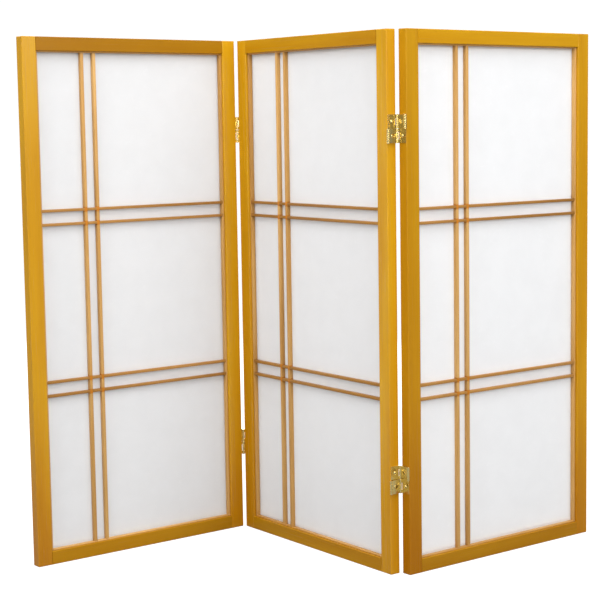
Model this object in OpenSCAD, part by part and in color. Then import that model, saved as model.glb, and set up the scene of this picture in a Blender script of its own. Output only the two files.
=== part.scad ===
// Three-panel folding shoji screen. Slim wooden frames filled with a lattice and paper stand
// in a zig-zag, joined by brass hinges that fold either way. Millimetres, +Z up, fronts face -Y.
// The origin is on the floor, under the centre of the middle panel.

/* [Screen] */
// Height of each panel
panel_h = 914; // [600:1:1900]
// Width of each panel
panel_w = 438; // [300:1:700]
// Thickness of the frame stock
frame_t = 19; // [17.5:0.5:26]
// Angle each outer panel is folded away from flat
fold_angle = 92; // [40:1:120]

/* [Frame] */
// Face width of the upright stiles
stile_w = 27; // [20:0.5:50]
// Face height of the top and bottom rails
rail_h = 24; // [20:0.5:60]
// Rounding of the long outer edges of the stiles
outer_ease = 1.2; // [0.5:0.1:2.5]
// Rounding of the edges next to the paper
inner_ease = 1.5; // [0.5:0.1:2.5]
// Rounding of the panel's top and bottom edges
end_ease = 1.5; // [0.5:0.1:3]
// Length of each rail tenon
tenon_l = 15; // [8:0.5:17]
// Thickness of each rail tenon
tenon_t = 7; // [5:0.5:9]
// Wood left above and below each tenon
tenon_shoulder = 4; // [2:0.5:6]

/* [Lattice] */
// Face width of the upright lattice bars
bar_w = 5.5; // [3:0.5:9]
// Face height of the lattice crossbars
crossbar_h = 4.8; // [3:0.1:9]
// Depth of the lattice bars, front to back
bar_d = 7.5; // [4:0.5:9]
// Distance of the lattice behind the frame's front face
lattice_inset = 4.5; // [2:0.5:6]
// Face width of the upright strips at the sides of the lattice
rim_w = 4; // [3:0.5:10]
// Face height of the level strips above and below the lattice
end_rim_h = 2; // [1.8:0.1:10]
// Distance between the centre lines of twin bars
twin_pitch = 24; // [16:0.5:46]
// Clear width of the narrow panes on the left
side_pane_w = 84; // [50:1:110]
// Clear height of the middle row of panes
middle_pane_h = 268.5; // [150:0.5:320]
// How far each bar end is let into the rim strip
housing = 1.2; // [0.5:0.1:1.5]
// Thickness of the paper
paper_t = 0.4; // [0.3:0.1:1]
// Face width of the beads that hold the paper at the back
bead_w = 6; // [4:0.5:10]
// Depth of the beads, front to back
bead_d = 5; // [3:0.5:6]
// Gap between fitted wooden pieces, and round the paper
wood_fit = 0.1; // [0.05:0.05:0.2]

/* [Hinges] */
// Length of each hinge
hinge_h = 47; // [40:1:80]
// Distance from the panel's end to the centre of the hinge
hinge_inset = 163; // [60:1:250]
// Gap between two panels that lie flat
panel_gap = 7; // [7:0.1:10]
// How far the pin centres stand in front of and behind the frame faces
pin_proud = 0.3; // [0.2:0.1:3]
// Thickness of the leaves and links
plate_t = 1; // [0.8:0.05:1.2]
// Outer radius of the knuckles
knuckle_r = 2.4; // [2.2:0.05:2.6]
// Radius of the hinge pins
pin_r = 1.2; // [0.9:0.05:1.4]
// Running clearance round a pin, on the radius
pin_fit = 0.05; // [0.02:0.01:0.1]
// Length of the outer knuckle on a leaf
end_knuckle = 6.2; // [5:0.1:8]
// Length of a link's knuckle
link_knuckle = 11; // [8:0.1:12]
// Gap between neighbouring knuckles, along the pin
knuckle_gap = 0.3; // [0.3:0.05:0.5]
// Clear gap between a plate's edge and the knuckles beside it
plate_relief = 0.4; // [0.3:0.05:0.6]
// How far a pin stands out of the end knuckle
pin_tip = 0.6; // [0.3:0.1:1]

/* [Screws] */
// Radius of the screw shank
screw_r = 1.4; // [1.2:0.1:1.8]
// Radius of the screw head
screw_head_r = 3; // [2.4:0.1:3.2]
// Length of a screw below its head
screw_l = 14; // [8:1:16]
// Length of the screw's point
screw_point = 3; // [1:0.5:5]
// Radius of the blunt end of the point
screw_tip_r = 0.2; // [0.1:0.05:0.5]
// How far the rounded head stands above the leaf
screw_dome = 1.2; // [0.6:0.1:1.4]
// Width of the slot in the head
slot_w = 0.7; // [0.5:0.1:1]
// Depth of the slot in the head
slot_d = 0.5; // [0.3:0.1:0.8]
// Radius of the hole in a link that lets a screwdriver reach the screw
access_r = 3.6; // [3:0.1:4]

/* [Hidden] */
$fn = 48;

// Cuts reach this far past the faces they break through
past = 1;

// Inside of the frame, and of the rim strips that line it
opening_w = panel_w - 2 * stile_w;
opening_h = panel_h - 2 * rail_h;
lattice_w = opening_w - 2 * rim_w;
lattice_h = opening_h - 2 * end_rim_h;

// Depths from the frame's centre plane: lattice front, half-lap plane, paper and beads
lattice_y = lattice_inset - frame_t / 2;
lap_y = lattice_y + bar_d / 2;
paper_y = lattice_y + bar_d;
bead_y = paper_y + paper_t;

// Twin crossbars above and below the middle row of panes, which is centred in the panel
inner_bar_z = (middle_pane_h + crossbar_h) / 2;
outer_bar_z = inner_bar_z + twin_pitch;
crossbar_z = [for (dz = [-outer_bar_z, -inner_bar_z, inner_bar_z, outer_bar_z]) panel_h / 2 + dz];

// Twin uprights beside the narrow panes
upright_1_x = side_pane_w + bar_w / 2 - lattice_w / 2;
upright_x = [upright_1_x, upright_1_x + twin_pitch];

// Hinge geometry, measured from the middle of the gap between two panels. A leaf is as wide
// as the flat of the stile, or less where the link's knuckles need the room to turn
pin_y = frame_t / 2 + pin_proud;
link_edge = pin_y - knuckle_r - plate_relief;
swing_r = knuckle_r + plate_relief;
leaf_face_x = plate_t - panel_gap / 2;
leaf_reach = pin_y - sqrt(max(0, swing_r * swing_r - leaf_face_x * leaf_face_x));
leaf_edge = min(leaf_reach, frame_t / 2 - outer_ease);
half_h = hinge_h / 2;
inner_knuckle = half_h - knuckle_gap / 2 - end_knuckle - link_knuckle - 2 * knuckle_gap;
link_top = half_h - end_knuckle - knuckle_gap;
link_bottom = link_top - link_knuckle;
inner_knuckle_z = link_bottom - knuckle_gap - inner_knuckle;
screw_z = half_h / 2;
hinge_zs = [hinge_inset, panel_h - hinge_inset];

wood = "peru";
lattice_wood = "burlywood";
brass = "gold";

// ---------- Where things stand ----------

// The middle panel, turned so that the zig-zag runs along X
module in_middle() {
  rotate([0, 0, -fold_angle / 2]) children();
}

// The gap beside the middle panel, with +X pointing at the outer panel
module at_gap(side) {
  in_middle()
    rotate([0, 0, side > 0 ? 0 : 180])
      translate([(panel_w + panel_gap) / 2, 0, 0]) children();
}

// Swings things about the pins of the zig-zag fold
module swung() {
  translate([0, pin_y, 0]) rotate([0, 0, fold_angle]) translate([0, -pin_y, 0]) children();
}

// An outer panel, folded about its gap
module in_outer(side) {
  at_gap(side) swung()
    translate([(panel_w + panel_gap) / 2, 0, 0])
      rotate([0, 0, side > 0 ? 0 : 180]) children();
}

// A hinge at the top (1) or bottom (0) of a gap
module at_hinge(side, level) {
  at_gap(side) translate([0, 0, hinge_zs[level]]) children();
}

// A hinge half that crosses the other way is the upper half turned about X
module lower_half() {
  rotate([180, 0, 0]) children();
}

// ---------- Frame ----------

// Rectangle centred on the origin, with one rounding on its left and one on its right
module eased_rect(w, h, left_r, right_r) {
  difference() {
    square([w, h], center = true);
    for (sx = [-1, 1], sy = [-1, 1]) {
      r = sx < 0 ? left_r : right_r;
      translate([sx * (w / 2 - r), sy * (h / 2 - r)])
        difference() {
          translate([sx > 0 ? 0 : -r - past, sy > 0 ? 0 : -r - past]) square(r + past);
          circle(r = r);
        }
    }
  }
}

// Upright of rounded section, softened at its top and bottom
module eased_stile(left_r, right_r) {
  intersection() {
    linear_extrude(panel_h) eased_rect(stile_w, frame_t, left_r, right_r);
    translate([0, frame_t / 2 + past, panel_h / 2])
      rotate([90, 0, 0])
        linear_extrude(frame_t + 2 * past) eased_rect(stile_w, panel_h, end_ease, end_ease);
    translate([-stile_w / 2 - past, 0, panel_h / 2])
      rotate([90, 0, 90])
        linear_extrude(stile_w + 2 * past) eased_rect(frame_t, panel_h, end_ease, end_ease);
  }
}

// Hole for one rail tenon, opening towards -X from the stile's inner face
module mortise(z) {
  depth = tenon_l + wood_fit;
  translate([-depth, -tenon_t / 2 - wood_fit, z + tenon_shoulder - wood_fit])
    cube([depth + past, tenon_t + 2 * wood_fit, rail_h - 2 * tenon_shoulder + 2 * wood_fit]);
}

// Upright of a panel. side is -1 for the left one; hinged ones have pilot holes
module stile(side, hinged) {
  outer = side * panel_w / 2;
  inner = side * opening_w / 2;
  color(wood)
    difference() {
      translate([side * (panel_w - stile_w) / 2, 0, 0])
        eased_stile(side < 0 ? outer_ease : inner_ease, side < 0 ? inner_ease : outer_ease);
      for (z = [0, panel_h - rail_h])
        translate([inner, 0, 0]) rotate([0, 0, side < 0 ? 0 : 180]) mortise(z);
      if (hinged)
        for (z = hinge_zs, dz = [-screw_z, screw_z])
          translate([outer + side * past, 0, z + dz])
            rotate([0, -side * 90, 0])
              cylinder(r = screw_r + wood_fit, h = screw_l + wood_fit + past);
    }
}

// Top (1) or bottom (0) rail, shouldered against the stiles
module rail(level) {
  z = level * (panel_h - rail_h);
  top_r = level > 0 ? end_ease : inner_ease;
  bottom_r = level > 0 ? inner_ease : end_ease;
  color(wood)
    union() {
      translate([-opening_w / 2, 0, z + rail_h / 2])
        rotate([0, 90, 0]) linear_extrude(opening_w) eased_rect(rail_h, frame_t, top_r, bottom_r);
      for (side = [-1, 1])
        translate([side * (opening_w + tenon_l - past) / 2, 0, z + rail_h / 2])
          cube([tenon_l + past, tenon_t, rail_h - 2 * tenon_shoulder], center = true);
    }
}

// ---------- Lattice ----------

// Space a lattice bar fills, or with grow its housing. Bars reach into the rim strips
module upright_space(i, grow) {
  translate([upright_x[i], lattice_y + bar_d / 2, panel_h / 2])
    cube([bar_w + 2 * grow, bar_d + 2 * grow, lattice_h + 2 * (housing + grow)], center = true);
}

module crossbar_space(i, grow) {
  translate([0, lattice_y + bar_d / 2, crossbar_z[i]])
    cube([lattice_w + 2 * (housing + grow), bar_d + 2 * grow, crossbar_h + 2 * grow], center = true);
}

// Pair of upright strips along the inside of the frame, front face at y
module side_pair(w, d, y) {
  for (side = [-1, 1])
    translate([side * (opening_w - w) / 2, y + d / 2, panel_h / 2])
      cube([w, d, opening_h - 2 * wood_fit], center = true);
}

// Pair of level strips of height h, fitted between upright ones of width w
module end_pair(w, h, d, y) {
  for (side = [-1, 1])
    translate([0, y + d / 2, panel_h / 2 + side * (opening_h - h) / 2])
      cube([opening_w - 2 * (w + wood_fit), d, h], center = true);
}

// Rim strips at the sides, housed out for the crossbars
module side_strips() {
  color(lattice_wood)
    difference() {
      side_pair(rim_w, bar_d, lattice_y);
      for (i = [0:3]) crossbar_space(i, wood_fit);
    }
}

// Rim strips at the top and bottom, housed out for the uprights
module end_strips() {
  color(lattice_wood)
    difference() {
      end_pair(rim_w, end_rim_h, bar_d, lattice_y);
      for (i = [0, 1]) upright_space(i, wood_fit);
    }
}

// Upright bar, notched at the back where the crossbars pass
module upright(i) {
  color(lattice_wood)
    difference() {
      upright_space(i, 0);
      for (z = crossbar_z)
        translate([upright_x[i], lap_y + bar_d / 2, z])
          cube([bar_w + 2 * past, bar_d, crossbar_h + wood_fit], center = true);
    }
}

// Twin crossbars, lower pair (0) or upper pair (1), notched at the front for the uprights
module crossbars(pair) {
  color(lattice_wood)
    difference() {
      for (i = [2 * pair, 2 * pair + 1]) crossbar_space(i, 0);
      for (x = upright_x, i = [2 * pair, 2 * pair + 1])
        translate([x, lap_y - bar_d / 2, crossbar_z[i]])
          cube([bar_w + wood_fit, bar_d, crossbar_h + 2 * past], center = true);
    }
}

// Paper glued to the back of the lattice and its rim
module paper() {
  color("ivory")
    translate([0, paper_y + paper_t / 2, panel_h / 2])
      cube([opening_w - 2 * wood_fit, paper_t, opening_h - 2 * wood_fit], center = true);
}

// Four beads that close the back, round the edge of the paper
module beads() {
  color(wood) {
    side_pair(bead_w, bead_d, bead_y);
    end_pair(bead_w, bead_w, bead_d, bead_y);
  }
}

// ---------- Hinges ----------

// One rolled knuckle round a pin centre, from z up
module knuckle(x, y, z, h, bore) {
  translate([x, y, z])
    difference() {
      cylinder(r = knuckle_r, h = h);
      translate([0, 0, -past]) cylinder(r = bore, h = h + 2 * past);
    }
}

// Sheet that leaves the leaf's plate and runs into a knuckle at the back
module leaf_knuckle(z, h) {
  knuckle(0, pin_y, z, h, pin_r);
  difference() {
    union() {
      translate([-panel_gap / 2, pin_y - knuckle_r, z]) cube([panel_gap / 2, plate_t, h]);
      translate([-panel_gap / 2, 0, z]) cube([plate_t, pin_y - knuckle_r + plate_t, h]);
    }
    translate([0, pin_y, z - past]) cylinder(r = pin_r, h = h + 2 * past);
  }
}

// Leaf screwed to the panel on the -X side: a plate with two knuckles at the back of its
// upper half and two at the front of its lower half
module leaf() {
  color(brass)
    difference() {
      union() {
        translate([-panel_gap / 2, -leaf_edge, -half_h]) cube([plate_t, 2 * leaf_edge, hinge_h]);
        leaf_knuckle(half_h - end_knuckle, end_knuckle);
        leaf_knuckle(inner_knuckle_z, inner_knuckle);
        lower_half() {
          leaf_knuckle(half_h - end_knuckle, end_knuckle);
          leaf_knuckle(inner_knuckle_z, inner_knuckle);
        }
      }
      for (z = [-screw_z, screw_z])
        translate([-panel_gap / 2, 0, z]) screw_hole();
    }
}

// Link of one hinge half: a plate with a knuckle at each edge, crossing from panel to panel
module link() {
  color(brass)
    difference() {
      union() {
        translate([-plate_t / 2, -link_edge, inner_knuckle_z])
          cube([plate_t, 2 * link_edge, half_h - inner_knuckle_z]);
        translate([-plate_t / 2, -pin_y, link_bottom]) cube([plate_t, 2 * pin_y, link_knuckle]);
        for (y = [-pin_y, pin_y]) translate([0, y, link_bottom]) cylinder(r = knuckle_r, h = link_knuckle);
      }
      for (y = [-pin_y, pin_y])
        translate([0, y, link_bottom - past]) cylinder(r = pin_r + pin_fit, h = link_knuckle + 2 * past);
      translate([-plate_t, 0, screw_z]) rotate([0, 90, 0]) cylinder(r = access_r, h = 2 * plate_t);
    }
}

// Pin through a leaf's two knuckles and the link between them
module pin() {
  translate([0, pin_y, inner_knuckle_z]) cylinder(r = pin_r, h = half_h + pin_tip - inner_knuckle_z);
}

// The same pin where the link is left free: it stays in the leaf's knuckles
module split_pin() {
  translate([0, pin_y, half_h - end_knuckle]) cylinder(r = pin_r, h = end_knuckle + pin_tip);
  translate([0, pin_y, inner_knuckle_z]) cylinder(r = pin_r, h = inner_knuckle);
}

// Countersunk hole through a leaf's plate, along +X from its back
module screw_hole() {
  translate([-past, 0, 0]) rotate([0, 90, 0]) cylinder(r = screw_r + wood_fit, h = plate_t + 2 * past);
  rotate([0, 90, 0])
    cylinder(r1 = screw_r + wood_fit, r2 = screw_head_r + wood_fit, h = plate_t);
}

// Wood screw driven towards -X, seen from the leaf's plate
module screw() {
  color(brass)
    difference() {
      union() {
        rotate([0, 90, 0]) cylinder(r1 = screw_r, r2 = screw_head_r, h = plate_t);
        translate([screw_point - screw_l, 0, 0])
          rotate([0, 90, 0]) cylinder(r = screw_r, h = screw_l - screw_point);
        translate([-screw_l, 0, 0])
          rotate([0, 90, 0]) cylinder(r1 = screw_tip_r, r2 = screw_r, h = screw_point);
        translate([plate_t, 0, 0]) rotate([0, 90, 0]) dome(screw_head_r, screw_dome);
      }
      translate([plate_t + screw_dome - slot_d, -slot_w / 2, -screw_head_r - past])
        cube([slot_d + past, slot_w, 2 * (screw_head_r + past)]);
    }
}

// Shallow cap of a sphere, base radius r and height h
module dome(r, h) {
  ball_r = (r * r + h * h) / (2 * h);
  intersection() {
    translate([0, 0, h - ball_r]) sphere(r = ball_r);
    cylinder(r = r, h = h);
  }
}

// The two screws of one leaf, on the middle panel's side of a hinge
module leaf_screws() {
  for (z = [-screw_z, screw_z]) translate([-panel_gap / 2, 0, z]) screw();
}

// The outer panel's leaf, pins and screws are the middle panel's turned half round
module outer_side() {
  swung() rotate([0, 0, 180]) children();
}

module panel_pins(side) {
  color(brass)
    for (level = [0, 1])
      at_hinge(side, level) outer_side() {
        pin();
        lower_half() split_pin();
      }
}

module outer_screws(side) {
  for (level = [0, 1]) at_hinge(side, level) outer_side() leaf_screws();
}

module middle_pins() {
  color(brass)
    for (side = [-1, 1], level = [0, 1])
      at_hinge(side, level) {
        pin();
        lower_half() pin();
      }
}

module middle_screws() {
  for (side = [-1, 1], level = [0, 1]) at_hinge(side, level) leaf_screws();
}

// ---------- Nodes ----------

in_outer(-1) stile(-1, false);  // left_panel_left_stile
in_outer(-1) stile(1, true);  // left_panel_right_stile
in_outer(-1) rail(1);  // left_panel_top_rail
in_outer(-1) rail(0);  // left_panel_bottom_rail
in_outer(-1) side_strips();  // left_panel_side_strips
in_outer(-1) end_strips();  // left_panel_end_strips
in_outer(-1) upright(0);  // left_panel_upright_1
in_outer(-1) upright(1);  // left_panel_upright_2
in_outer(-1) crossbars(0);  // left_panel_lower_crossbars
in_outer(-1) crossbars(1);  // left_panel_upper_crossbars
in_outer(-1) paper();  // left_panel_paper
in_outer(-1) beads();  // left_panel_beads

in_middle() stile(-1, true);  // middle_panel_left_stile
in_middle() stile(1, true);  // middle_panel_right_stile
in_middle() rail(1);  // middle_panel_top_rail
in_middle() rail(0);  // middle_panel_bottom_rail
in_middle() side_strips();  // middle_panel_side_strips
in_middle() end_strips();  // middle_panel_end_strips
in_middle() upright(0);  // middle_panel_upright_1
in_middle() upright(1);  // middle_panel_upright_2
in_middle() crossbars(0);  // middle_panel_lower_crossbars
in_middle() crossbars(1);  // middle_panel_upper_crossbars
in_middle() paper();  // middle_panel_paper
in_middle() beads();  // middle_panel_beads

in_outer(1) stile(-1, true);  // right_panel_left_stile
in_outer(1) stile(1, false);  // right_panel_right_stile
in_outer(1) rail(1);  // right_panel_top_rail
in_outer(1) rail(0);  // right_panel_bottom_rail
in_outer(1) side_strips();  // right_panel_side_strips
in_outer(1) end_strips();  // right_panel_end_strips
in_outer(1) upright(0);  // right_panel_upright_1
in_outer(1) upright(1);  // right_panel_upright_2
in_outer(1) crossbars(0);  // right_panel_lower_crossbars
in_outer(1) crossbars(1);  // right_panel_upper_crossbars
in_outer(1) paper();  // right_panel_paper
in_outer(1) beads();  // right_panel_beads

at_hinge(-1, 1) leaf();  // left_top_hinge_middle_leaf
at_hinge(-1, 1) outer_side() leaf();  // left_top_hinge_outer_leaf
at_hinge(-1, 1) swung() link();  // left_top_hinge_upper_link
at_hinge(-1, 1) lower_half() link();  // left_top_hinge_lower_link
at_hinge(-1, 0) leaf();  // left_bottom_hinge_middle_leaf
at_hinge(-1, 0) outer_side() leaf();  // left_bottom_hinge_outer_leaf
at_hinge(-1, 0) swung() link();  // left_bottom_hinge_upper_link
at_hinge(-1, 0) lower_half() link();  // left_bottom_hinge_lower_link

at_hinge(1, 1) leaf();  // right_top_hinge_middle_leaf
at_hinge(1, 1) outer_side() leaf();  // right_top_hinge_outer_leaf
at_hinge(1, 1) swung() link();  // right_top_hinge_upper_link
at_hinge(1, 1) lower_half() link();  // right_top_hinge_lower_link
at_hinge(1, 0) leaf();  // right_bottom_hinge_middle_leaf
at_hinge(1, 0) outer_side() leaf();  // right_bottom_hinge_outer_leaf
at_hinge(1, 0) swung() link();  // right_bottom_hinge_upper_link
at_hinge(1, 0) lower_half() link();  // right_bottom_hinge_lower_link

panel_pins(-1);  // left_panel_pins
middle_pins();  // middle_panel_pins
panel_pins(1);  // right_panel_pins
outer_screws(-1);  // left_panel_screws
middle_screws();  // middle_panel_screws
outer_screws(1);  // right_panel_screws
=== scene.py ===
# %% [markdown]
# # Three-panel folding shoji screen
#
# A shoji screen is a slim wooden frame with a light lattice and a sheet of paper glued behind it.
# This one stands on the floor as a zig-zag of three panels, joined by brass hinges that fold both
# ways. The shapes of the real parts come from the CAD frame. Here the lattice and the beads get
# softened edges, and every piece gets its finish: honey-stained wood for the frame, a browner
# stain for the lattice, fibrous paper, or brass.

import math

import bmesh
import bpy
from mathutils import Matrix, Vector


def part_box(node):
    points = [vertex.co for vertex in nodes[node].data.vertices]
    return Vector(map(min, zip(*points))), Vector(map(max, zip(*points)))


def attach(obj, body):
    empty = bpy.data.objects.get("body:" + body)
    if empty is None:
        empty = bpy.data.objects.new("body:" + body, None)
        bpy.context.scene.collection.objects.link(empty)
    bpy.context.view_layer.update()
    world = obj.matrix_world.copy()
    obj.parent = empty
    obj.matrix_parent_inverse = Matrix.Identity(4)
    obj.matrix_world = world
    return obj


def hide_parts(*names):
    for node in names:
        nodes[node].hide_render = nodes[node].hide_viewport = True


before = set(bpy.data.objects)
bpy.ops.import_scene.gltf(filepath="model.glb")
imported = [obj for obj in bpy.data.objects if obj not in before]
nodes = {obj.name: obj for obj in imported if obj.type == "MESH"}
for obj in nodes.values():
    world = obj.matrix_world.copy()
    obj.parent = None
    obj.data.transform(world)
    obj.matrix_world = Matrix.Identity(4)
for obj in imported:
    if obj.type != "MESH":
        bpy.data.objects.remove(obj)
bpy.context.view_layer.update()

# %% [markdown]
# ## Where each panel stands
#
# Every panel was made flat and then turned into the zig-zag, so wood grain and rounded beads are
# easiest to think about in the panel's own directions: X across it, Y from front to back, Z up.
# The turn is half the fold angle, one way for the middle panel and the other way for its
# neighbours, and a rail is centred on its panel, so its box gives the panel's centre.

# %% Panel directions
FOLD = math.radians(92)
PANELS = ("left", "middle", "right")


def panel_turn(panel):
    """Angle in radians that a panel is turned about the vertical."""
    return -FOLD / 2 if panel == "middle" else FOLD / 2


def panel_place(panel):
    """Matrix from a panel's own directions to the row."""
    low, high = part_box(f"{panel}_panel_bottom_rail")
    centre = Vector(((low.x + high.x) / 2, (low.y + high.y) / 2, 0))
    return Matrix.Translation(centre) @ Matrix.Rotation(panel_turn(panel), 4, "Z")


for panel in PANELS:
    print(panel, "panel at", [round(v, 4) for v in panel_place(panel).translation],
          "turned", round(math.degrees(panel_turn(panel)), 1))

# %% [markdown]
# ## Camera
#
# The screen is seen from just below the height of its top edge, a little to the right of its
# middle, with a long lens from almost three metres away. The camera looks slightly down. The small
# shift keeps the whole zig-zag in the square frame.

# %% Camera
LENS = 97.47
SHIFT = -0.05
CAMERA_PLACE = (0.3845, -2.8361, 0.7656)
HEADING = 7.19
LOOKS_DOWN = 6.299
ROLL = -0.779

camera_data = bpy.data.cameras.new("camera")
camera_data.sensor_width = 36
camera_data.lens = LENS
camera_data.shift_x = SHIFT
camera_data.clip_end = 100
camera = bpy.data.objects.new("camera", camera_data)
bpy.context.scene.collection.objects.link(camera)
camera.matrix_world = (
    Matrix.Translation(CAMERA_PLACE)
    @ Matrix.Rotation(math.radians(HEADING), 4, "Z")
    @ Matrix.Rotation(math.radians(90 - LOOKS_DOWN), 4, "X")
    @ Matrix.Rotation(math.radians(ROLL), 4, "Z")
)
bpy.context.scene.camera = camera
print("lens", camera_data.lens, "mm, camera", [round(v, 3) for v in camera.location])

# %% [markdown]
# ## Room: floor, light and air
#
# Screens like this are shown in a bright white studio. A pale floor and a white world do that.
# The world is white to the eye but gives a softer light that fades downwards, as a studio with a
# big light overhead does, so the tops of the panels are brighter than their feet.
# The floor is lifted for the eye in the same way. Seven soft lights do the rest: one overhead, three
# large ones round the front, two tall narrow ones that draw bright lines down the hinge barrels, and
# one behind the screen that makes the paper glow through.

# %% Floor
FLOOR_SIZE = 60
FLOOR_GREY = 0.26
FLOOR_LIFT = 0.85

bpy.ops.mesh.primitive_plane_add(size=FLOOR_SIZE)
floor = bpy.context.object
floor.name = "floor"
floor_paint = bpy.data.materials.new("floor_paint")
floor_paint.use_nodes = True
tree = floor_paint.node_tree
paint = tree.nodes["Principled BSDF"]
paint.inputs["Base Color"].default_value = (FLOOR_GREY, FLOOR_GREY, FLOOR_GREY, 1)
paint.inputs["Roughness"].default_value = 0.9
paint.inputs["Specular IOR Level"].default_value = 0.1
paint.inputs["Emission Color"].default_value = (1, 1, 1, 1)
eye = tree.nodes.new("ShaderNodeLightPath")
lift = tree.nodes.new("ShaderNodeMath")
lift.operation = "MULTIPLY"
lift.inputs[1].default_value = FLOOR_LIFT
tree.links.new(eye.outputs["Is Camera Ray"], lift.inputs[0])
tree.links.new(lift.outputs[0], paint.inputs["Emission Strength"])
floor.data.materials.append(floor_paint)
print("floor", floor.dimensions[:2])

# %% World
BACKGROUND = 1.05
FADE = {"From Min": -0.1, "From Max": 0.9, "To Min": 0.16, "To Max": 0.85}

world = bpy.data.worlds.new("studio")
bpy.context.scene.world = world
world.use_nodes = True
tree = world.node_tree
tree.nodes.clear()
out = tree.nodes.new("ShaderNodeOutputWorld")
mix = tree.nodes.new("ShaderNodeMixShader")
seen = tree.nodes.new("ShaderNodeBackground")
light = tree.nodes.new("ShaderNodeBackground")
eye = tree.nodes.new("ShaderNodeLightPath")
way = tree.nodes.new("ShaderNodeTexCoord")
parts = tree.nodes.new("ShaderNodeSeparateXYZ")
fade = tree.nodes.new("ShaderNodeMapRange")
seen.inputs["Color"].default_value = (1, 1, 1, 1)
seen.inputs["Strength"].default_value = BACKGROUND
light.inputs["Color"].default_value = (1, 1, 1, 1)
for name, value in FADE.items():
    fade.inputs[name].default_value = value
tree.links.new(way.outputs["Generated"], parts.inputs[0])
tree.links.new(parts.outputs["Z"], fade.inputs["Value"])
tree.links.new(fade.outputs["Result"], light.inputs["Strength"])
tree.links.new(eye.outputs["Is Camera Ray"], mix.inputs["Fac"])
tree.links.new(light.outputs[0], mix.inputs[1])
tree.links.new(seen.outputs[0], mix.inputs[2])
tree.links.new(mix.outputs[0], out.inputs["Surface"])
bpy.context.scene.view_settings.view_transform = "Standard"
print("world", world.name)

# %% Lights


def softbox(name, place, aim, size, power):
    """A rectangular white area light at place, pointing at aim. size is its width and height."""
    data = bpy.data.lights.new(name, "AREA")
    data.shape = "RECTANGLE"
    data.size, data.size_y = size
    data.energy = power
    lamp = bpy.data.objects.new(name, data)
    bpy.context.scene.collection.objects.link(lamp)
    lamp.location = place
    lamp.rotation_euler = (Vector(aim) - Vector(place)).to_track_quat("-Z", "Y").to_euler()
    return lamp


softbox("overhead", (0.1, -1.1, 2.4), (0, -0.1, 0.4), (2.4, 1.4), 38)
softbox("from_right", (2.5, -1.65, 1.65), (0, 0, 0.6), (1.4, 1.5), 29)
softbox("from_left", (-2.4, -1.5, 2.1), (0, 0, 0.5), (1.5, 1.4), 19)
softbox("from_front", (0.3, -3.6, 2.3), (0, 0, 0.6), (2.0, 1.6), 12)
softbox("right_strip", (1.9, -3.0, 1.0), (0, 0, 0.5), (0.4, 1.8), 13)
softbox("left_strip", (-1.8, -3.0, 1.0), (0, 0, 0.5), (0.4, 1.8), 13)
softbox("from_behind", (0, 2.6, 1.0), (0, 0, 0.4), (3.0, 1.6), 76)

# %% [markdown]
# ## Node tools
#
# A few short helpers keep the materials readable: one adds a node and sets its values by name,
# and one makes a shader node group with named inputs and outputs. A group holds an effect that
# several materials share, such as wood grain, and each material gives it its own values.

# %% Helpers for nodes


def add(tree, kind, **values):
    """A new shader node of that kind, with its properties or its unlinked inputs set by name."""
    node = tree.nodes.new("ShaderNode" + kind)
    for name, value in values.items():
        label = name.replace("_", " ")
        if label in node.inputs:
            node.inputs[label].default_value = value
        else:
            setattr(node, name, value)
    return node


def math_node(tree, operation, a, b, clamp=False):
    """A Math node whose two inputs are sockets or numbers. Gives its output socket."""
    node = add(tree, "Math", operation=operation, use_clamp=clamp)
    for socket, value in zip(node.inputs, (a, b)):
        if isinstance(value, (int, float)):
            socket.default_value = value
        else:
            tree.links.new(value, socket)
    return node.outputs[0]


def steps(tree, value, low, high, to_low=0.0, to_high=1.0):
    """A smooth step of a value from low to high. Gives the output socket."""
    node = add(tree, "MapRange", interpolation_type="SMOOTHSTEP", From_Min=low, From_Max=high,
               To_Min=to_low, To_Max=to_high)
    tree.links.new(value, node.inputs["Value"])
    return node.outputs["Result"]


def blend_colour(tree, fac, a, b, kind="MIX"):
    """A colour mix. fac is a socket or a number, a and b are sockets or colours."""
    node = add(tree, "Mix", data_type="RGBA", blend_type=kind)
    for index, value in ((0, fac), (6, a), (7, b)):
        if hasattr(value, "is_output"):
            tree.links.new(value, node.inputs[index])
        else:
            node.inputs[index].default_value = value if index == 0 else (*value, 1)
    return node.outputs[2]


def new_group(name, inputs, outputs):
    """A shader node group. inputs are (name, kind, value), outputs are (name, kind)."""
    group = bpy.data.node_groups.new(name, "ShaderNodeTree")
    for label, kind, value in inputs:
        socket = group.interface.new_socket(label, in_out="INPUT", socket_type="NodeSocket" + kind)
        if value is not None:
            socket.default_value = value
    for label, kind in outputs:
        group.interface.new_socket(label, in_out="OUTPUT", socket_type="NodeSocket" + kind)
    return group, group.nodes.new("NodeGroupInput"), group.nodes.new("NodeGroupOutput")


def use_group(tree, group, **values):
    """Places a group in a material, with its values set by name."""
    node = tree.nodes.new("ShaderNodeGroup")
    node.node_tree = group
    for name, value in values.items():
        node.inputs[name.replace("_", " ")].default_value = value
    return node


def new_material(name):
    """An empty node material: (material, tree, Principled node)."""
    material = bpy.data.materials.new(name)
    material.use_nodes = True
    return material, material.node_tree, material.node_tree.nodes["Principled BSDF"]


print("node helpers ready")

# %% [markdown]
# ## Straight grain
#
# The frame is a pale softwood, sawn so that the grain runs along every bar. Stain sinks deeper into
# the soft spring wood than into the hard summer wood, which leaves fine streaks a few millimetres
# apart, tiny dark pores, and slow patches of gold and amber along the length. It could be painted
# from a picture of wood, but a pattern in space has no seams and shows end grain by itself. The
# vector that comes in already has the grain along its Z, so the group stretches noise along Z. Each
# pattern's two numbers say how fine it is across the grain and along it, in waves a metre. The rings
# are a sine wave whose phase grows across the board's face and, more slowly, through its depth, and
# slow bends sway it.

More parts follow.
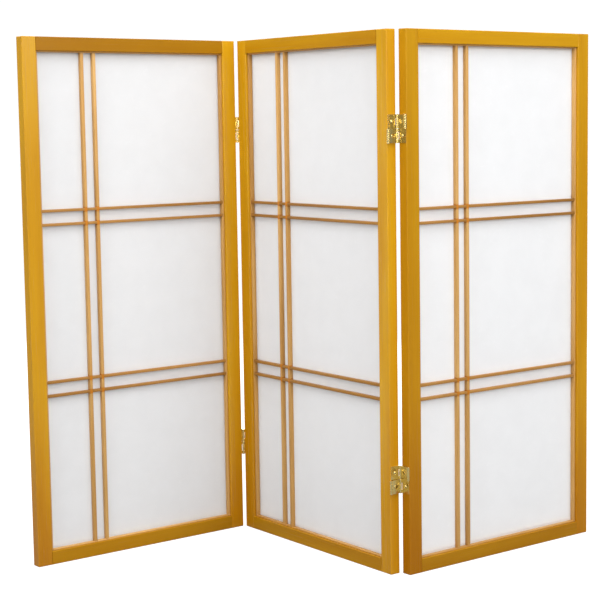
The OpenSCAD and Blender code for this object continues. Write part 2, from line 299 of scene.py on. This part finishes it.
# %% Group: straight grain
BENDS = (14, 1.6)
STREAKS = (420, 7)
PORES = (1500, 38)
PATCHES = (22, 2.6)
FACE_RINGS = 900
DEPTH_RINGS = 420
BEND_SWAY = 14

grain, g_in, g_out = new_group(
    "straight_grain",
    [("Vector", "Vector", None), ("Ring Spacing", "Float", 3.0), ("Waviness", "Float", 1.0)],
    [("Rings", "Float"), ("Streaks", "Float"), ("Pores", "Float"), ("Patches", "Float"),
     ("Height", "Float")])


def stretched(tree, vector, across, along):
    """A vector scaled by two numbers: across the grain, and along it."""
    node = add(tree, "VectorMath", operation="MULTIPLY")
    tree.links.new(vector, node.inputs[0])
    node.inputs[1].default_value = (across, across, along)
    return node.outputs[0]


def noise(tree, vector, scale, detail, roughness=0.5):
    """Noise at a vector. Gives its value."""
    node = add(tree, "TexNoise", Scale=scale, Detail=detail, Roughness=roughness)
    tree.links.new(vector, node.inputs["Vector"])
    return node.outputs["Fac"]


vector = g_in.outputs["Vector"]
bend = noise(grain, stretched(grain, vector, *BENDS), 1, 2)
bent = math_node(grain, "MULTIPLY", bend, g_in.outputs["Waviness"])
split = add(grain, "SeparateXYZ")
grain.links.new(vector, split.inputs[0])
across = math_node(grain, "ADD", math_node(grain, "MULTIPLY", split.outputs["X"], FACE_RINGS),
                   math_node(grain, "MULTIPLY", split.outputs["Y"], DEPTH_RINGS))
phase = math_node(grain, "ADD", math_node(grain, "DIVIDE", across, g_in.outputs["Ring Spacing"]),
                  math_node(grain, "MULTIPLY", bent, BEND_SWAY))
rings = math_node(grain, "SINE", phase, 0)
rings = steps(grain, rings, -0.9, 1.0)
streaks = noise(grain, stretched(grain, vector, *STREAKS), 1, 4, 0.62)
pores = steps(grain, noise(grain, stretched(grain, vector, *PORES), 1, 2), 0.60, 0.72)
patches = noise(grain, stretched(grain, vector, *PATCHES), 1, 3)
height = math_node(grain, "SUBTRACT", math_node(grain, "MULTIPLY", streaks, 0.6),
                   math_node(grain, "MULTIPLY", pores, 0.5))
for name, value in (("Rings", rings), ("Streaks", streaks), ("Pores", pores),
                    ("Patches", patches), ("Height", height)):
    grain.links.new(value, g_out.inputs[name])
print("group", grain.name, "gives", [s.name for s in g_out.inputs if s.name])

# %% [markdown]
# ## Stained wood
#
# One function makes the wood for each piece, because each was cut from a different board: the
# Mapping node turns the grain to the piece's length and moves it to another part of the pattern.
# Colour is mixed from a gold and an amber by the patches and rings, and thin streaks darken it.
# Two masks on the height above the floor add more. One is what the finisher's hand left: stain that
# soaked into the joints where bars cross. The other is painted shade: the feet of the stiles grow
# darker and redder towards the floor, where less light reaches.
# Lacquer is a thin coat over a satin base. The shares below say how strongly each part of the
# pattern darkens the wood.

# %% Function: wood
GOLD = (0.64, 0.335, 0.008)
AMBER = (0.56, 0.26, 0.005)
BROWN = (0.30, 0.11, 0.003)
TAN = (0.68, 0.40, 0.135)
JOINT = (0.53, 0.175, 0.003)
# Painted shade: the next colour is multiplied into the feet of the stiles, darker and redder towards
# the floor.
FOOT_SHADE = (0.79, 0.64, 0.45)
TOFFEE = (0.52, 0.27, 0.07)
NUT = (0.46, 0.23, 0.06)
UMBER = (0.32, 0.145, 0.028)
RING_SHARE, STREAK_SHARE, PORE_SHARE, JOINT_SHARE = 0.16, 0.26, 0.18, 0.95
JOINT_CORE, JOINT_EDGE = 0.0028, 0.0054
# Height where the painted shade at the feet of the stiles has faded out.
FOOT_SHADE_TOP = 0.34
COAT, COAT_ROUGHNESS = 0.06, 0.2


def height_above_floor(tree, place):
    """The Z of a Texture Coordinate node's Object output."""
    split = add(tree, "SeparateXYZ")
    tree.links.new(place.outputs["Object"], split.inputs[0])
    return split.outputs["Z"]


def near_heights(tree, level, heights, full, gone):
    """Mask that is 1 within full of any of these heights and 0 further away than gone."""
    mask = 0.0
    for height in heights:
        away = math_node(tree, "ABSOLUTE", math_node(tree, "SUBTRACT", level, height), 0)
        mask = math_node(tree, "MAXIMUM", mask, steps(tree, away, full, gone, 1, 0))
    return mask


def wood(name, turn, shift, light_wood, dark_wood, spacing, gloss, sheen=0.2, joints=(), foot_shading=0.0):
    """Wood with its grain along one axis.

    turn and shift are the Mapping node's. spacing sets how far apart its rings are, gloss is its
    roughness where it is smoothest, and sheen its specular level. joints are the heights where
    another bar crosses it, and the last argument is how much painted shade darkens and reddens it
    at floor level.
    """
    material, tree, shader = new_material(name)
    place = add(tree, "TexCoord")
    board = add(tree, "Mapping", vector_type="TEXTURE", Rotation=turn, Location=shift)
    tree.links.new(place.outputs["Object"], board.inputs["Vector"])
    figure = use_group(tree, grain, Ring_Spacing=spacing)
    tree.links.new(board.outputs[0], figure.inputs["Vector"])
    patchy = steps(tree, figure.outputs["Patches"], 0.3, 0.7)
    colour = blend_colour(tree, patchy, light_wood, dark_wood)
    ringed = math_node(tree, "MULTIPLY", figure.outputs["Rings"], RING_SHARE)
    colour = blend_colour(tree, ringed, colour, dark_wood)
    streaky = steps(tree, figure.outputs["Streaks"], 0.45, 0.80, 0, STREAK_SHARE)
    colour = blend_colour(tree, streaky, colour, BROWN)
    porous = math_node(tree, "MULTIPLY", figure.outputs["Pores"], PORE_SHARE)
    colour = blend_colour(tree, porous, colour, BROWN)
    if joints:
        level = height_above_floor(tree, place)
        soaked = near_heights(tree, level, joints, JOINT_CORE, JOINT_EDGE)
        soaked = math_node(tree, "MULTIPLY", soaked, JOINT_SHARE)
        colour = blend_colour(tree, soaked, colour, JOINT)
    # Painted shade: the piece grows darker and redder towards the floor.
    if foot_shading:
        low = steps(tree, height_above_floor(tree, place), 0.0, FOOT_SHADE_TOP, foot_shading, 0.0)
        colour = blend_colour(tree, low, colour, FOOT_SHADE, "MULTIPLY")
    tree.links.new(colour, shader.inputs["Base Color"])
    rough = steps(tree, figure.outputs["Streaks"], 0.3, 0.8, gloss, gloss + 0.08)
    tree.links.new(rough, shader.inputs["Roughness"])
    bump = add(tree, "Bump", Strength=0.14, Distance=0.0002)
    tree.links.new(figure.outputs["Height"], bump.inputs["Height"])
    tree.links.new(bump.outputs[0], shader.inputs["Normal"])
    shader.inputs["Specular IOR Level"].default_value = sheen
    shader.inputs["Coat Weight"].default_value = COAT
    shader.inputs["Coat Roughness"].default_value = COAT_ROUGHNESS
    return material


UPRIGHT_GRAIN = {panel: (0, 0, panel_turn(panel)) for panel in PANELS}
LEVEL_GRAIN = {panel: (0, math.radians(90), panel_turn(panel)) for panel in PANELS}
print("wood colours", GOLD, AMBER, TAN)

# %% Frame wood
BOARD_TONES = {"left_top_rail": 0.62, "left_bottom_rail": 0.72, "left_right_stile": 1.06,
               "middle_top_rail": 0.88, "middle_bottom_rail": 0.77, "middle_right_stile": 1.08,
               "right_left_stile": 0.86, "right_top_rail": 0.95, "right_bottom_rail": 0.70}
# How strongly each panel's stiles are painted darker near the floor, as shade.
FOOT_SHADE_AMOUNTS = {"left": 1.0, "middle": 0.6, "right": 1.0}
STILE_SHEEN = {"left": 0.36, "middle": 0.36, "right": 0.17}
RAIL_SHEEN = 0.14
FRAME_RINGS, FRAME_GLOSS = 3.2, 0.22


def shade(colour, amount):
    """A colour made darker and a little redder below 1, as more stain does, or lighter above 1."""
    red, green, blue = colour
    return red * amount, green * amount ** 1.3, blue * amount


for number, panel in enumerate(PANELS):
    for piece, turns in (("left_stile", UPRIGHT_GRAIN), ("right_stile", UPRIGHT_GRAIN),
                         ("top_rail", LEVEL_GRAIN), ("bottom_rail", LEVEL_GRAIN)):
        node = nodes[f"{panel}_panel_{piece}"]
        shift = (0.31 * number, 0.17 * len(piece), 0.23 * len(piece) + 0.41 * number)
        tone = BOARD_TONES.get(f"{panel}_{piece}", 1.0)
        sheen = STILE_SHEEN[panel] if "stile" in piece else RAIL_SHEEN
        foot_shading = FOOT_SHADE_AMOUNTS[panel] if "stile" in piece else 0.0
        node.material_slots[0].material = wood(
            f"frame_wood_{panel}_{piece}", turns[panel], shift, shade(GOLD, tone),
            shade(AMBER, tone), FRAME_RINGS, FRAME_GLOSS, sheen, foot_shading=foot_shading)
print("frame pieces", 4 * len(PANELS), "with tones", sorted(set(BOARD_TONES.values())))

# %% [markdown]
# ## Softened lattice
#
# The lattice bars are small square sticks whose sharp corners were taken off with one stroke of
# sandpaper. The CAD bars have perfect corners, so each is copied, its loose triangles are merged
# into whole faces, and its corners are bevelled by about a third of a millimetre. The same works on
# the notches where two bars cross, which leaves the fine line that a real half-lap joint shows. The
# crossbars are a darker brown than the uprights and the strips round the edge.

# %% Function: softened copy of a CAD piece
SAME_POINT = 1e-6
SAME_PLANE = math.radians(1)
CORNER = math.radians(30)
SHARP = math.radians(40)


def whole_mesh(node):
    """A bmesh copy of a CAD node, its triangles merged into whole flat faces."""
    mesh = bmesh.new()
    mesh.from_mesh(nodes[node].data)
    bmesh.ops.remove_doubles(mesh, verts=mesh.verts, dist=SAME_POINT)
    bmesh.ops.dissolve_limit(mesh, angle_limit=SAME_PLANE, verts=mesh.verts, edges=mesh.edges)
    return mesh


def finish_piece(mesh, node, body, materials):
    """Makes the object that stands for a CAD node: smooth, riding on its body, with its finish."""
    data = bpy.data.meshes.new(node + "_finished")
    bmesh.ops.recalc_face_normals(mesh, faces=mesh.faces)
    for face in mesh.faces:
        face.smooth = True
    mesh.to_mesh(data)
    mesh.free()
    data.set_sharp_from_angle(angle=SHARP)
    piece = bpy.data.objects.new(data.name, data)
    bpy.context.scene.collection.objects.link(piece)
    for material in materials:
        data.materials.append(material)
    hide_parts(node)
    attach(piece, body)
    return piece


def soften(mesh, width, segments=2, edges=None):
    """Bevels these edges of a mesh, or all its corners."""
    if edges is None:
        edges = [e for e in mesh.edges if e.is_manifold and e.calc_face_angle() > CORNER]
    bmesh.ops.bevel(mesh, geom=edges, offset=width, offset_type="OFFSET", segments=segments,
                    profile=0.5, affect="EDGES", clamp_overlap=True, material=-1)


print("softening helpers ready")

# %% Lattice pieces
LATTICE = (("upright_1", UPRIGHT_GRAIN), ("upright_2", UPRIGHT_GRAIN),
           ("side_strips", UPRIGHT_GRAIN), ("lower_crossbars", LEVEL_GRAIN),
           ("upper_crossbars", LEVEL_GRAIN), ("end_strips", LEVEL_GRAIN))
CROSSBAR = 0.0048
SANDED = 0.00035
LATTICE_RINGS, LATTICE_GLOSS = 2.2, 0.42


def crossing_heights(panel):
    """Heights of a panel's four crossbars, from the boxes of its two pairs."""
    heights = []
    for pair in ("lower_crossbars", "upper_crossbars"):
        low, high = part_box(f"{panel}_panel_{pair}")
        heights += [low.z + CROSSBAR / 2, high.z - CROSSBAR / 2]
    return heights


for number, panel in enumerate(PANELS):
    for order, (piece, turns) in enumerate(LATTICE):
        shift = (0.19 * order, 0.37 * number, 0.53 * order + 0.29 * number)
        colours = (NUT, UMBER) if "crossbars" in piece else (TAN, TOFFEE)
        joints = crossing_heights(panel) if "upright" in piece else ()
        finish = wood(f"lattice_wood_{panel}_{piece}", turns[panel], shift, *colours,
                      LATTICE_RINGS, LATTICE_GLOSS, joints=joints)
        name = f"{panel}_panel_{piece}"
        mesh = whole_mesh(name)
        soften(mesh, SANDED)
        made = finish_piece(mesh, name, f"{panel}_panel", [finish])
    print(panel, "lattice:", len(LATTICE), "pieces, the last with", len(made.data.polygons), "faces")

# %% [markdown]
# ## Beads at the back
#
# Behind the paper a small rounded bead runs round each opening and hides the paper's edge. The
# router gives it a quarter round on the back corner that faces the opening, so that corner gets a
# wide bevel of several segments and the others stay square. The upright beads run the full height
# and the level ones fit between them, so each has its own grain direction.

# %% Beads
BEAD_ROUND = 0.003
LONG_EDGE = 0.05
INSIDE_RIM = 0.004
SIDE_BEAD = 0.0062
for number, panel in enumerate(PANELS):
    name = f"{panel}_panel_beads"
    place = panel_place(panel)
    mesh = whole_mesh(name)
    mesh.transform(place.inverted())
    back = max(v.co.y for v in mesh.verts)
    half = max(v.co.x for v in mesh.verts)
    centre_z = sum(v.co.z for v in mesh.verts) / len(mesh.verts)
    tall = max(v.co.z for v in mesh.verts) - centre_z
    ring = []
    for edge in mesh.edges:
        middle = (edge.verts[0].co + edge.verts[1].co) / 2
        long_edge = edge.calc_length() > LONG_EDGE
        inside = (abs(middle.x) < half - INSIDE_RIM
                  and abs(middle.z - centre_z) < tall - INSIDE_RIM)
        if long_edge and inside and middle.y > back - 1e-4:
            ring.append(edge)
    soften(mesh, BEAD_ROUND, 5, ring)
    for face in mesh.faces:
        along_side = abs(face.calc_center_median().x) > half - SIDE_BEAD
        face.material_index = 0 if along_side else 1
    mesh.transform(place)
    shift = (0.4 + number, 0.7, number * 0.6)
    finishes = [wood(f"bead_wood_{panel}_{way}", turn[panel], shift, GOLD, AMBER, 2.6, 0.36)
                for way, turn in (("upright", UPRIGHT_GRAIN), ("level", LEVEL_GRAIN))]
    finish_piece(mesh, name, f"{panel}_panel", finishes)
    print(panel, "beads:", len(ring), "rounded edges")

# %% [markdown]
# ## Paper
#
# Shoji paper is made of long plant fibres that lie every way in the sheet. Against the light the
# sheet looks cloudy, with thin threads a centimetre or two long. The clouds are slow noise. For the
# threads, a line is drawn wherever a bent noise passes its middle value, and a second noise breaks
# the lines into short lengths. Light goes through the sheet, so a Translucent shader is mixed with
# the Principled one; a glass-like transmission would look wet.

# %% Group: paper fibres
fibres, f_in, f_out = new_group(
    "paper_fibres", [("Vector", "Vector", None), ("Thread Width", "Float", 0.02)],
    [("Clouds", "Float"), ("Threads", "Float"), ("Height", "Float")])
vector = f_in.outputs["Vector"]
clouds = noise(fibres, vector, 26, 5, 0.6)
thread_layers = []
for number, (scale, length_scale) in enumerate(((34, 60), (47, 85))):
    shifted = add(fibres, "VectorMath", operation="ADD")
    fibres.links.new(vector, shifted.inputs[0])
    shifted.inputs[1].default_value = (3.1 * number, 1.7 * number, 5.3 * number)
    bent = noise(fibres, shifted.outputs[0], scale, 2, 0.5)
    off = math_node(fibres, "ABSOLUTE", math_node(fibres, "SUBTRACT", bent, 0.5), 0)
    near = math_node(fibres, "DIVIDE", off, f_in.outputs["Thread Width"])
    line = steps(fibres, near, 0, 1, 1, 0)
    broken = steps(fibres, noise(fibres, shifted.outputs[0], length_scale, 1), 0.60, 0.68)
    thread_layers.append(math_node(fibres, "MULTIPLY", line, broken))
threads = math_node(fibres, "MAXIMUM", *thread_layers)
fine = noise(fibres, vector, 900, 3, 0.7)
height = math_node(fibres, "ADD", math_node(fibres, "MULTIPLY", threads, 0.7),
                   math_node(fibres, "MULTIPLY", fine, 0.5))
for name, value in (("Clouds", clouds), ("Threads", threads), ("Height", height)):
    fibres.links.new(value, f_out.inputs[name])
print("group", fibres.name, "gives", [s.name for s in f_out.inputs if s.name])

# %% Paper material
# Painted light and shade: the one paper is made darker on the left and middle panels and lighter on
# the right one, for how each panel faces the lamps.
SHEET_LIGHT_AND_SHADE = {"left": 0.95, "middle": 0.98, "right": 1.015}
THREAD_SHARE = 0.5
LIGHT_THROUGH = 0.3


def grey(level):
    """A neutral colour of this level, a trace cooler than grey, as bleached paper is."""
    return level - 0.003, level, level + 0.007


for number, panel in enumerate(PANELS):
    # This panel's share of painted light and shade on the paper.
    tone = SHEET_LIGHT_AND_SHADE[panel]
    material, tree, shader = new_material(f"paper_{panel}")
    place = add(tree, "TexCoord")
    sheet = add(tree, "Mapping", vector_type="TEXTURE", Rotation=(0, 0, panel_turn(panel)),
                Location=(0.7 * number, 0, 1.3 * number))
    tree.links.new(place.outputs["Object"], sheet.inputs["Vector"])
    web = use_group(tree, fibres, Thread_Width=0.018)
    tree.links.new(sheet.outputs[0], web.inputs["Vector"])
    cloudy = steps(tree, web.outputs["Clouds"], 0.3, 0.7)
    colour = blend_colour(tree, cloudy, grey(0.900 * tone), grey(0.918 * tone))
    threaded = math_node(tree, "MULTIPLY", web.outputs["Threads"], THREAD_SHARE)
    colour = blend_colour(tree, threaded, colour, grey(0.945 * tone))
    tree.links.new(colour, shader.inputs["Base Color"])
    rough = steps(tree, web.outputs["Clouds"], 0.3, 0.7, 0.72, 0.88)
    tree.links.new(rough, shader.inputs["Roughness"])
    shader.inputs["Specular IOR Level"].default_value = 0.25
    bump = add(tree, "Bump", Strength=0.18, Distance=0.0003)
    tree.links.new(web.outputs["Height"], bump.inputs["Height"])
    tree.links.new(bump.outputs[0], shader.inputs["Normal"])
    glow = add(tree, "BsdfTranslucent")
    tree.links.new(colour, glow.inputs["Color"])
    through = add(tree, "MixShader", Fac=LIGHT_THROUGH)
    tree.links.new(shader.outputs[0], through.inputs[1])
    tree.links.new(glow.outputs[0], through.inputs[2])
    tree.links.new(through.outputs[0], tree.nodes["Material Output"].inputs["Surface"])
    nodes[f"{panel}_panel_paper"].material_slots[0].material = material
    print("paper for the", panel, "panel")

# %% [markdown]
# ## Brass
#
# The hinges are stamped from sheet brass and plated bright. Stamped plates have faint rolling lines
# and a slightly cloudy lacquer, and the plating dulls in small spots. The pins are turned and
# polished, so they are paler and smoother than the plates. Screw heads are smooth too, but their
# brass is darker than the plates' and has stronger dark spots: partly dirt from the driver, and
# partly painted shade for their domed heads. All share one group and differ in its values.

# %% Group: dulled metal
dulled, d_in, d_out = new_group(
    "dulled_metal",
    [("Vector", "Vector", None), ("Line Strength", "Float", 0.5), ("Dulling", "Float", 0.5)],
    [("Dull", "Float"), ("Height", "Float")])
vector = d_in.outputs["Vector"]
lines = noise(dulled, stretched(dulled, vector, 2600, 90), 1, 3, 0.6)
spots = steps(dulled, noise(dulled, vector, 520, 4, 0.65), 0.50, 0.72)
haze = steps(dulled, noise(dulled, vector, 130, 3), 0.35, 0.75)
dull = math_node(dulled, "MAXIMUM", spots, math_node(dulled, "MULTIPLY", haze, 0.6))
dull = math_node(dulled, "MULTIPLY", dull, d_in.outputs["Dulling"], clamp=True)
height = math_node(dulled, "MULTIPLY", lines, d_in.outputs["Line Strength"])
for name, value in (("Dull", dull), ("Height", height)):
    dulled.links.new(value, d_out.inputs[name])
print("group", dulled.name, "gives", [s.name for s in d_out.inputs if s.name])

# %% Brass materials


def brass(name, bright, dark, smooth, line_strength, dulling):
    """Plated brass. smooth is its roughness where it is clean, and dulling is how far it dulls."""
    material, tree, shader = new_material(name)
    place = add(tree, "TexCoord")
    wear = use_group(tree, dulled, Line_Strength=line_strength, Dulling=dulling)
    tree.links.new(place.outputs["Object"], wear.inputs["Vector"])
    colour = blend_colour(tree, wear.outputs["Dull"], bright, dark)
    tree.links.new(colour, shader.inputs["Base Color"])
    rough = steps(tree, wear.outputs["Dull"], 0, 1, smooth, smooth + 0.2)
    tree.links.new(rough, shader.inputs["Roughness"])
    bump = add(tree, "Bump", Strength=0.08, Distance=0.0001)
    tree.links.new(wear.outputs["Height"], bump.inputs["Height"])
    tree.links.new(bump.outputs[0], shader.inputs["Normal"])
    shader.inputs["Metallic"].default_value = 1.0
    return material


plate_brass = brass("plate_brass", (0.97, 0.77, 0.31), (0.68, 0.49, 0.13), 0.20, 0.5, 0.30)
pin_brass = brass("pin_brass", (0.97, 0.86, 0.52), (0.70, 0.57, 0.26), 0.14, 0.3, 0.25)
# Partly painted shade: the screws' brass is darker than the plates', with stronger dark spots, for
# dirt and for the shade on their domed heads.
screw_dirt_and_shade_brass = brass("screw_dirt_and_shade_brass", (0.88, 0.70, 0.29), (0.38, 0.27, 0.08), 0.12, 0.3, 0.3)
for name, node in nodes.items():
    if "_hinge_" in name:
        node.material_slots[0].material = plate_brass
    elif name.endswith("_pins"):
        node.material_slots[0].material = pin_brass
    elif name.endswith("_screws"):
        node.material_slots[0].material = screw_dirt_and_shade_brass
print("brass on", sum("_hinge_" in n or n.endswith(("_pins", "_screws")) for n in nodes), "pieces")
